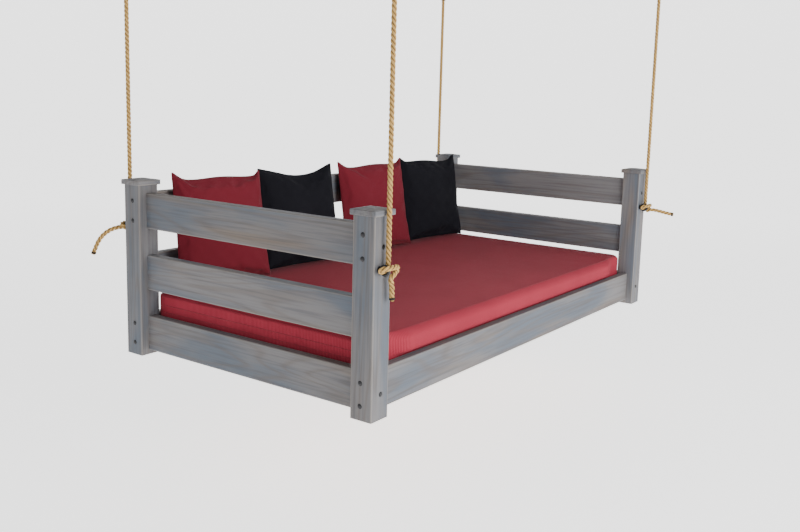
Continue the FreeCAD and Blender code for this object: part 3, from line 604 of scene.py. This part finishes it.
def inflate(piece, settings, cap):
    """Fill a closed cloth mesh by simulation; no point moves further than the cap."""
    before = places_of(piece.data)
    cloth = piece.modifiers.new("filling", "CLOTH")
    for name, setting in CLOTH.items():
        setattr(cloth.settings, name, setting)
    cloth.settings.uniform_pressure_force = settings.pressure
    cloth.settings.effector_weights.gravity = 0
    cloth.collision_settings.use_collision = False
    cloth.point_cache.frame_start = 1
    cloth.point_cache.frame_end = settings.frames
    scene = bpy.context.scene
    for step in range(1, settings.frames + 1):
        scene.frame_set(step)
    mesh = evaluated_mesh(piece)
    scene.frame_set(1)
    piece.modifiers.remove(cloth)
    moved = places_of(mesh) - before
    bpy.data.meshes.remove(mesh)
    far = np.linalg.norm(moved, axis=1)
    moved *= np.minimum(1.0, cap / np.maximum(far, 1e-9))[:, None]
    set_places(piece.data, before + moved)


def subdivided(piece):
    """One round of subdivision, applied; the first points keep their order."""
    piece.modifiers.new("soften", "SUBSURF").levels = 1
    return baked(piece, piece.name)


def hitch_point(corner, across, out, up):
    """A point given in millimetres at a corner's hitch, in the frame's metres."""
    side_x, side_y = CORNERS[corner]
    return (side_x * POST_MIDDLE + across / 1000, side_y * (POST_FACE + out / 1000),
            HITCH_HEIGHT + up / 1000)


# ---------------------------------------------------------------- operators

class Step(Operator):
    """Shared behaviour of the build steps."""
    bl_options = {"REGISTER", "UNDO"}

    def execute(self, context):
        self.build(context.scene)
        return {"FINISHED"}


def dress(node, material):
    """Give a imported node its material."""
    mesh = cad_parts[node].data
    mesh.materials.clear()
    mesh.materials.append(material)


class DAYBED_OT_camera(Step):
    """Place the camera at the front left of the daybed"""
    bl_idname = "daybed.camera"
    bl_label = "Camera"

    def build(self, scene):
        yaw, pitch, roll = CAMERA_YAW, CAMERA_PITCH, CAMERA_ROLL
        forward = Vector((math.sin(yaw) * math.cos(pitch), math.cos(yaw) * math.cos(pitch),
                          math.sin(pitch)))
        right = Vector((math.cos(yaw), -math.sin(yaw), 0.0))
        up = right.cross(forward)
        across = right * math.cos(roll) + up * math.sin(roll)
        upward = up * math.cos(roll) - right * math.sin(roll)
        lens = bpy.data.cameras.new("camera")
        lens.sensor_width = 36.0
        lens.lens = CAMERA_LENS
        lens.shift_x, lens.shift_y = CAMERA_SHIFT
        lens.clip_end = 200.0
        camera = new_object("camera", lens)
        camera.matrix_world = Matrix.Translation(CAMERA_PLACE) @ Matrix(
            (across, upward, -forward)).transposed().to_4x4()
        scene.camera = camera


class DAYBED_OT_ropes(Step):
    """Make the four hanging ropes with their hitches and tails"""
    bl_idname = "daybed.ropes"
    bl_label = "Ropes"

    def build(self, scene):
        rope = scene.daybed_rope
        look = rope_look()
        twine = cloth_look("dark_twine", (0.045, 0.035, 0.028), TWINE_RADIUS, False, 0.1, 3.0)
        laid, tube = laid_rope_tree(), round_tree()
        for corner, (side_x, side_y) in CORNERS.items():
            place = Vector((side_x * POST_MIDDLE, side_y * (POST_FACE + ROPE_OUT), 0.0))
            top = place + Vector((0, 0, ROPE_TOP))
            foot = place + Vector((0, 0, HITCH_HEIGHT - FOOT_TUCK))
            hanging = [top.lerp(foot, step / 5) for step in range(6)]
            upper, line = self.lay(laid, f"{corner}_hanging_rope", hanging, look, rope)
            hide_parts(f"{corner}_rope_span", f"{corner}_rope_drop")
            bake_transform(upper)

            spots = [hitch_point(corner, *spot) for spot in HITCH_ROUTE + TAIL_ROUTES[corner]]
            lower, line = self.lay(laid, f"{corner}_hitch_and_tail", spots, look, rope)
            band = self.whipping(tube, corner, line, twine)
            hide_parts(f"{corner}_rope_knot", f"{corner}_rope_tail")
            for piece in (lower, band):
                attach(piece, "bed")

    def lay(self, laid, name, points, look, rope):
        """A laid rope along the given points; gives the piece and the line it follows."""
        route = route_curve(f"{name}_route", points)
        line = centreline(route)
        piece = laid.run_on(route, {"Radius": ROPE_RADIUS, "Strand offset": rope.spread,
                                    "Lay length": rope.lay, "Step": rope.step, "Sides": rope.sides,
                                    "Material": look}, name)
        if len(piece.data.polygons) < rope.sides:
            raise RuntimeError(f"{name} came out empty")
        return piece, line

    def whipping(self, tube, corner, line, twine):
        """A few turns of dark twine bound round the cut end, so that it doesn't unlay."""
        tip, before = Vector(line[-1]), Vector(line[-6])
        inward = (before - tip).normalized()
        side = inward.orthogonal().normalized()
        other = inward.cross(side)
        turns, per_turn, pitch, radius = 5, 16, 0.0016, ROPE_RADIUS * 0.99
        points = []
        for step in range(turns * per_turn + 1):
            angle = 2 * math.pi * step / per_turn
            points.append(tip + inward * (0.003 + pitch * step / per_turn)
                          + (side * math.cos(angle) + other * math.sin(angle)) * radius)
        return tube.run_on(seam_curve(f"{corner}_whipping_route", points, False),
                           {"Radius": TWINE_RADIUS, "Step": 0.003, "Sides": 8, "Material": twine},
                           f"{corner}_tail_whipping")


class DAYBED_OT_timber(Step):
    """Finish the posts, caps, rails, slats and ledgers"""
    bl_idname = "daybed.timber"
    bl_label = "Timber"

    def build(self, scene):
        boards = [(f"{corner}_post", 2) for corner in CORNERS]
        boards += [(f"{corner}_post_cap", 0) for corner in CORNERS]
        boards += [(f"{side}_end_rail_{level}", 1) for side in ("left", "right")
                   for level in ("lower", "middle", "top")]
        boards += [(f"back_rail_{level}", 0) for level in ("lower", "middle", "top")] + [("front_apron", 0)]
        for seed, (node, along) in enumerate(boards):
            dress(node, timber_look(f"{node}_stain", *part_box(node), along, 40 + seed))
        bare = (("front_slat_ledger", 0), ("back_slat_ledger", 0), ("bed_slats", 1), ("cap_dowels", 2))
        for seed, (node, along) in enumerate(bare):
            dress(node, timber_look(f"{node}_pine", *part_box(node), along, 90 + seed, stained=False))


class DAYBED_OT_hardware(Step):
    """Finish the bolts, screws, eyes and ceiling hangers"""
    bl_idname = "daybed.hardware"
    bl_label = "Hardware"

    def build(self, scene):
        black = metal_look("black_coated_steel", (0.008, 0.008, 0.010), 0.42, 0.0, 900.0)
        hanger = metal_look("black_hanger_steel", (0.02, 0.02, 0.022), 0.38, 0.3, 700.0)
        zinc = metal_look("zinc_plate", (0.50, 0.50, 0.48), 0.32, 1.0, 1200.0)
        for node in ("pin_bolts", "end_bolts", "eye_bolts"):
            dress(node, black)
        for node in ("ledger_screws", "slat_screws"):
            dress(node, zinc)
        for corner in CORNERS:
            for part in ("rope_socket", "swivel", "ceiling_bracket"):
                dress(f"{corner}_{part}", hanger)


class DAYBED_OT_mattress(Step):
    """Fill the boxed mattress and sew its welts and zip flap"""
    bl_idname = "daybed.mattress"
    bl_label = "Mattress"

    def build(self, scene):
        soft = scene.daybed_soft
        piece = new_object("boxed_mattress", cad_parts["mattress"].data.copy())
        remesh = piece.modifiers.new("cells", "REMESH")
        remesh.mode = "VOXEL"
        remesh.voxel_size = soft.mattress_voxel
        piece = baked(piece, "boxed_mattress")
        low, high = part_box("mattress")
        middle, half = (low + high) / 2, (high - low) / 2
        rows = places_of(piece.data)
        normals = np.zeros(len(piece.data.vertices) * 3)
        piece.data.vertices.foreach_get("normal", normals)
        set_places(piece.data, rows - normals.reshape(-1, 3) * soft.mattress_swell * 0.8)
        inflate(piece, soft, soft.mattress_swell)
        piece = subdivided(piece)
        rows = places_of(piece.data)
        fit = [(high[axis] - low[axis]) / np.ptp(rows[:, axis]) for axis in range(3)]
        rows = (rows - (rows.max(0) + rows.min(0)) / 2) * fit + np.array(middle)
        rise = np.clip((rows[:, 2] - (low.z + LIP_FOOT)) / (high.z - low.z - LIP_FOOT), 0, 1)
        inset = np.clip((half.x - LIP_END - abs(rows[:, 0] - middle.x)) / LIP_RUN, 0, 1)
        front = np.clip((low.y + LIP_BAND - rows[:, 1]) / LIP_BAND, 0, 1)
        swell = np.minimum(rise / 0.10, 1.0) * (1 - 0.45 * np.clip((rise - 0.6) / 0.4, 0, 1) ** 2)
        rows[:, 1] -= soft.mattress_lip * swell * inset * inset * (3 - 2 * inset) * front
        set_places(piece.data, rows)
        smooth(piece)
        self.map_cloth(piece, middle)
        look = cloth_look("burgundy_ticking", tuple(soft.burgundy), 0.0068, True, 0.03, 1.0)
        piece.data.materials.clear()
        piece.data.materials.append(look)
        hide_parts("mattress")
        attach(piece, "loose_mattress")
        # the welts and the zip flap take a darker burgundy: painted shade along the seam lines
        seam_shade_thread = cloth_look("burgundy_welt", tuple(part * 0.8 for part in soft.burgundy), 0.002, False,
                            0.2, 2.0)
        self.sew(piece, low, high, seam_shade_thread)

    def map_cloth(self, piece, middle):
        """Lay the cover's map so that the ribs run across the top and straight down the sides."""
        layer = piece.data.uv_layers.new(name="cloth")
        places = places_of(piece.data)
        for face in piece.data.polygons:
            facing = face.normal
            end = abs(facing.x) > max(abs(facing.y), abs(facing.z))
            top = abs(facing.z) > max(abs(facing.x), abs(facing.y))
            for loop in face.loop_indices:
                spot = places[piece.data.loops[loop].vertex_index]
                layer.data[loop].uv = (spot[1 if end else 0], spot[1 if top else 2])

    def sew(self, piece, low, high, seam_shade_thread):
        """A narrow welt round the top and the bottom edge, and a zip flap along the left end, in a darker
        burgundy that paints the seams' shade.
        """
        surface = BVHTree.FromPolygons([vertex.co for vertex in piece.data.vertices],
                                       [face.vertices for face in piece.data.polygons])
        tube = round_tree()
        middle = (low + high) / 2
        half = (high - low) / 2
        rounds = {"top_welt": (high.z - 0.007, 0.0016), "bottom_welt": (low.z + 0.007, 0.0016),
                  "zip_flap_upper": (middle.z + 0.016, 0.0014), "zip_flap_lower": (middle.z - 0.012, 0.0011)}
        for name, (height, radius) in rounds.items():
            points = []
            whole = "welt" in name
            for spot in self.outline(half, whole):
                origin = Vector((middle.x + spot[0] * 1.5, middle.y + spot[1] * 1.5, height))
                inner = Vector((middle.x + spot[0] * 0.9, middle.y + spot[1] * 0.9, height))
                hit = surface.ray_cast(origin, (inner - origin).normalized())[0]
                if hit is not None:
                    points.append(hit)
            seam = tube.run_on(seam_curve(f"{name}_route", points, whole),
                               {"Radius": radius, "Step": 0.006, "Sides": 8, "Material": seam_shade_thread},
                               f"mattress_{name}")
            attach(seam, "loose_mattress")

    def outline(self, half, whole):
        """Spots round the mattress's plan, or along its left end alone where it isn't whole."""
        corner = MATTRESS_CORNER
        spots = []
        if whole:
            runs = ((1, -1), (1, 1), (-1, 1), (-1, -1))
            for index, (sx, sy) in enumerate(runs):
                pivot = Vector((sx * (half.x - corner), sy * (half.y - corner)))
                start = math.atan2(sy, sx) - math.pi / 4
                for step in range(9):
                    angle = start + math.pi / 2 * step / 8
                    spots.append(pivot + Vector((math.cos(angle), math.sin(angle))) * corner)
                nx, ny = runs[(index + 1) % 4]
                following = Vector((nx * (half.x - corner), ny * (half.y - corner)))
                last = spots[-1]
                ahead = start + math.pi / 2
                goal = following + Vector((math.cos(ahead), math.sin(ahead))) * corner
                count = max(2, int((goal - last).length / SEAM_GAP))
                spots += [last.lerp(goal, step / count) for step in range(1, count)]
            return spots
        run = 2 * half.y - 2 * FLAP_INSET
        count = int(run / SEAM_GAP)
        return [Vector((-half.x, -half.y + FLAP_INSET + run * step / count)) for step in range(count + 1)]


class DAYBED_OT_pillows(Step):
    """Fill the four scatter pillows and stand them along the back"""
    bl_idname = "daybed.pillows"
    bl_label = "Pillows"

    def build(self, scene):
        soft = scene.daybed_soft
        red = cloth_look("red_cotton", tuple(soft.red), 0.0016, False, 0.04, 5.0)
        black = cloth_look("black_cotton", tuple(soft.black), 0.0016, False, 0.0, 6.0)
        tube = round_tree()
        for number in range(1, 5):
            chance = random.Random(70 + number)
            piece, rim = self.envelope(f"scatter_pillow_{number}", soft, chance)
            inflate(piece, soft, soft.pillow_give)
            piece = subdivided(piece)
            self.place(piece, number)
            smooth(piece)
            slot, look = ("red_pillow", red) if number % 2 else ("black_pillow", black)
            piece.data.materials.clear()
            piece.data.materials.append(look)
            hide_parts(f"pillow_{number}")
            edge = [piece.data.vertices[index].co.copy() for index in rim]
            seam = tube.run_on(seam_curve(f"pillow_{number}_seam_route", edge, True),
                               {"Radius": 0.0013, "Step": 0.005, "Sides": 8, "Material": look},
                               f"scatter_pillow_{number}_seam")
            for made in (piece, seam):
                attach(made, f"loose_pillow_{number}")

    def envelope(self, name, soft, chance):
        """Two square panels sewn together round the edge, a little apart; gives the piece and its rim."""
        cells, side = soft.pillow_cells, soft.pillow_side
        mesh = bmesh.new()
        layer = mesh.loops.layers.uv.new("cloth")
        phase = [chance.uniform(0, 6.3) for _ in range(8)]
        index = {}
        for sheet in (-1, 1):
            for column in range(cells + 1):
                for row in range(cells + 1):
                    rim = column in (0, cells) or row in (0, cells)
                    if rim and sheet > 0:
                        index[sheet, column, row] = index[-1, column, row]
                        continue
                    u, v = column / cells * 2 - 1, row / cells * 2 - 1
                    dome = (1 - u * u) * (1 - v * v)
                    sag = PILLOW_SAG * (math.sin(5 * u + phase[0]) + math.sin(7 * v + phase[1]))
                    depth = sheet * (PILLOW_DOME * dome ** 0.55
                                     + PILLOW_PUCKER * math.sin(19 * u + phase[2 + sheet])
                                     * math.sin(17 * v + phase[5 + sheet]) * (dome > 0))
                    bow = 1 - SIDE_PULL * (1 - v * v) * abs(u) ** 3
                    rise = 1 - (TOP_PULL if v > 0 else FOOT_PULL) * (1 - u * u) * abs(v) ** 3
                    wave = PILLOW_RIPPLE * math.sin(4.2 * u + phase[7]) * v if v > 0 else 0
                    index[sheet, column, row] = mesh.verts.new(
                        (u * side / 2 * bow, depth + sag * dome, v * side / 2 * rise + wave))
        for sheet in (-1, 1):
            for column in range(cells):
                for row in range(cells):
                    ring = [(column, row), (column + 1, row), (column + 1, row + 1), (column, row + 1)]
                    if sheet > 0:
                        ring.reverse()
                    face = mesh.faces.new([index[sheet, *spot] for spot in ring])
                    for loop, spot in zip(face.loops, ring):
                        loop[layer].uv = (spot[0] / cells * side + (sheet + 1), spot[1] / cells * side)
        mesh.verts.index_update()
        around = [(step, 0) for step in range(cells)] + [(cells, step) for step in range(cells)]
        around += [(cells - step, cells) for step in range(cells)]
        around += [(0, cells - step) for step in range(cells)]
        rim = [index[-1, *spot].index for spot in around]
        data = bpy.data.meshes.new(name)
        mesh.to_mesh(data)
        mesh.free()
        return new_object(name, data), rim

    def place(self, piece, number):
        """Size a filled pillow, lean it back and stand it where its solid stands."""
        low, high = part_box(f"pillow_{number}")
        size = np.array((PILLOW_WIDTHS[number - 1], PILLOW_THICK, PILLOW_TALL))
        rows = places_of(piece.data)
        rows = (rows - (rows.max(0) + rows.min(0)) / 2) * (size / np.ptp(rows, axis=0))
        rows[:, 0] *= 1.0 - 0.02 * rows[:, 2] / size[2]
        pose = Matrix.Rotation(PILLOW_TURN, 3, "Z").inverted() @ Matrix.Rotation(-PILLOW_LEAN, 3, "X")
        pose = pose @ Matrix.Rotation(math.radians(PILLOW_ROLLS[number - 1]), 3, "Y")
        rows = rows @ np.array(pose).T
        rows[:, 0] += (low.x + high.x) / 2 - (rows[:, 0].max() + rows[:, 0].min()) / 2
        rows[:, 1] += high.y - rows[:, 1].max()
        rows[:, 2] += low.z - rows[:, 2].min()
        set_places(piece.data, rows)


class DAYBED_OT_stage(Step):
    """Lay the floor and set the soft studio light"""
    bl_idname = "daybed.stage"
    bl_label = "Floor and light"

    def build(self, scene):
        settings = scene.daybed_stage
        level = POST_FOOT - settings.clearance
        bend, turns, steps = settings.sweep, 72, 12
        profile = [(0.01, 0.0), (bend, 0.0)]
        profile += [(bend * (2 + math.sin(math.pi / 2 * step / steps)),
                     bend * (1 - math.cos(math.pi / 2 * step / steps))) for step in range(steps + 1)]
        profile.append((3 * bend, 2.2 * bend))
        circle = [(math.cos(2 * math.pi * turn / turns), math.sin(2 * math.pi * turn / turns))
                  for turn in range(turns)]
        points = [(reach * east, reach * north, level + rise) for reach, rise in profile
                  for east, north in circle]
        faces = [(row * turns + turn, row * turns + (turn + 1) % turns,
                  (row + 1) * turns + (turn + 1) % turns, (row + 1) * turns + turn)
                 for row in range(len(profile) - 1) for turn in range(turns)]
        faces.append(tuple(range(turns)))
        mesh = bpy.data.meshes.new("floor")
        mesh.from_pydata(points, [], [face[::-1] for face in faces[:-1]] + [faces[-1]])
        mesh.polygons.foreach_set("use_smooth", [True] * len(mesh.polygons))
        mesh.materials.append(floor_look())
        made = [new_object("floor", mesh)]
        for (name, (place, aim, size)), power in zip(LAMPS.items(), (settings.key, settings.fill)):
            lamp = bpy.data.lights.new(name, "AREA")
            lamp.size = size
            lamp.energy = power
            light = new_object(name, lamp)
            light.location = place
            light.rotation_euler = (Vector(aim) - Vector(place)).to_track_quat("-Z", "Y").to_euler()
            made.append(light)
        world = bpy.data.worlds.new("surround")
        world.use_nodes = True
        background = world.node_tree.nodes["Background"].inputs
        background["Color"].default_value = (1.0, 1.0, 1.0, 1.0)
        background["Strength"].default_value = settings.sky
        scene.world = world


# ---------------------------------------------------------------- panel and registration

OPERATORS = (DAYBED_OT_camera, DAYBED_OT_ropes, DAYBED_OT_timber, DAYBED_OT_hardware, DAYBED_OT_mattress,
             DAYBED_OT_pillows, DAYBED_OT_stage)
SETTINGS = {"daybed_timber": TimberSettings, "daybed_rope": RopeSettings, "daybed_soft": SoftSettings,
            "daybed_stage": StageSettings}


class DAYBED_PT_panel(Panel):
    """Settings and build steps of the daybed"""
    bl_label = "Hanging daybed"
    bl_idname = "DAYBED_PT_panel"
    bl_space_type = "VIEW_3D"
    bl_region_type = "UI"
    bl_category = "Daybed"

    def draw(self, context):
        for name, kind in SETTINGS.items():
            box = self.layout.box()
            for prop in kind.__annotations__:
                box.prop(getattr(context.scene, name), prop)
        for operator in OPERATORS:
            self.layout.operator(operator.bl_idname)


def register():
    for kind in (*SETTINGS.values(), *OPERATORS, DAYBED_PT_panel):
        bpy.utils.register_class(kind)
    for name, kind in SETTINGS.items():
        setattr(bpy.types.Scene, name, PointerProperty(type=kind))


def unregister():
    for name in SETTINGS:
        delattr(bpy.types.Scene, name)
    for kind in (DAYBED_PT_panel, *reversed(OPERATORS), *SETTINGS.values()):
        bpy.utils.unregister_class(kind)


def main():
    """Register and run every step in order."""
    register()
    for operator in OPERATORS:
        group, step = operator.bl_idname.split(".")
        if getattr(getattr(bpy.ops, group), step)() != {"FINISHED"}:
            raise RuntimeError(f"{operator.bl_label} didn't finish")


if __name__ == "__main__":
    main()
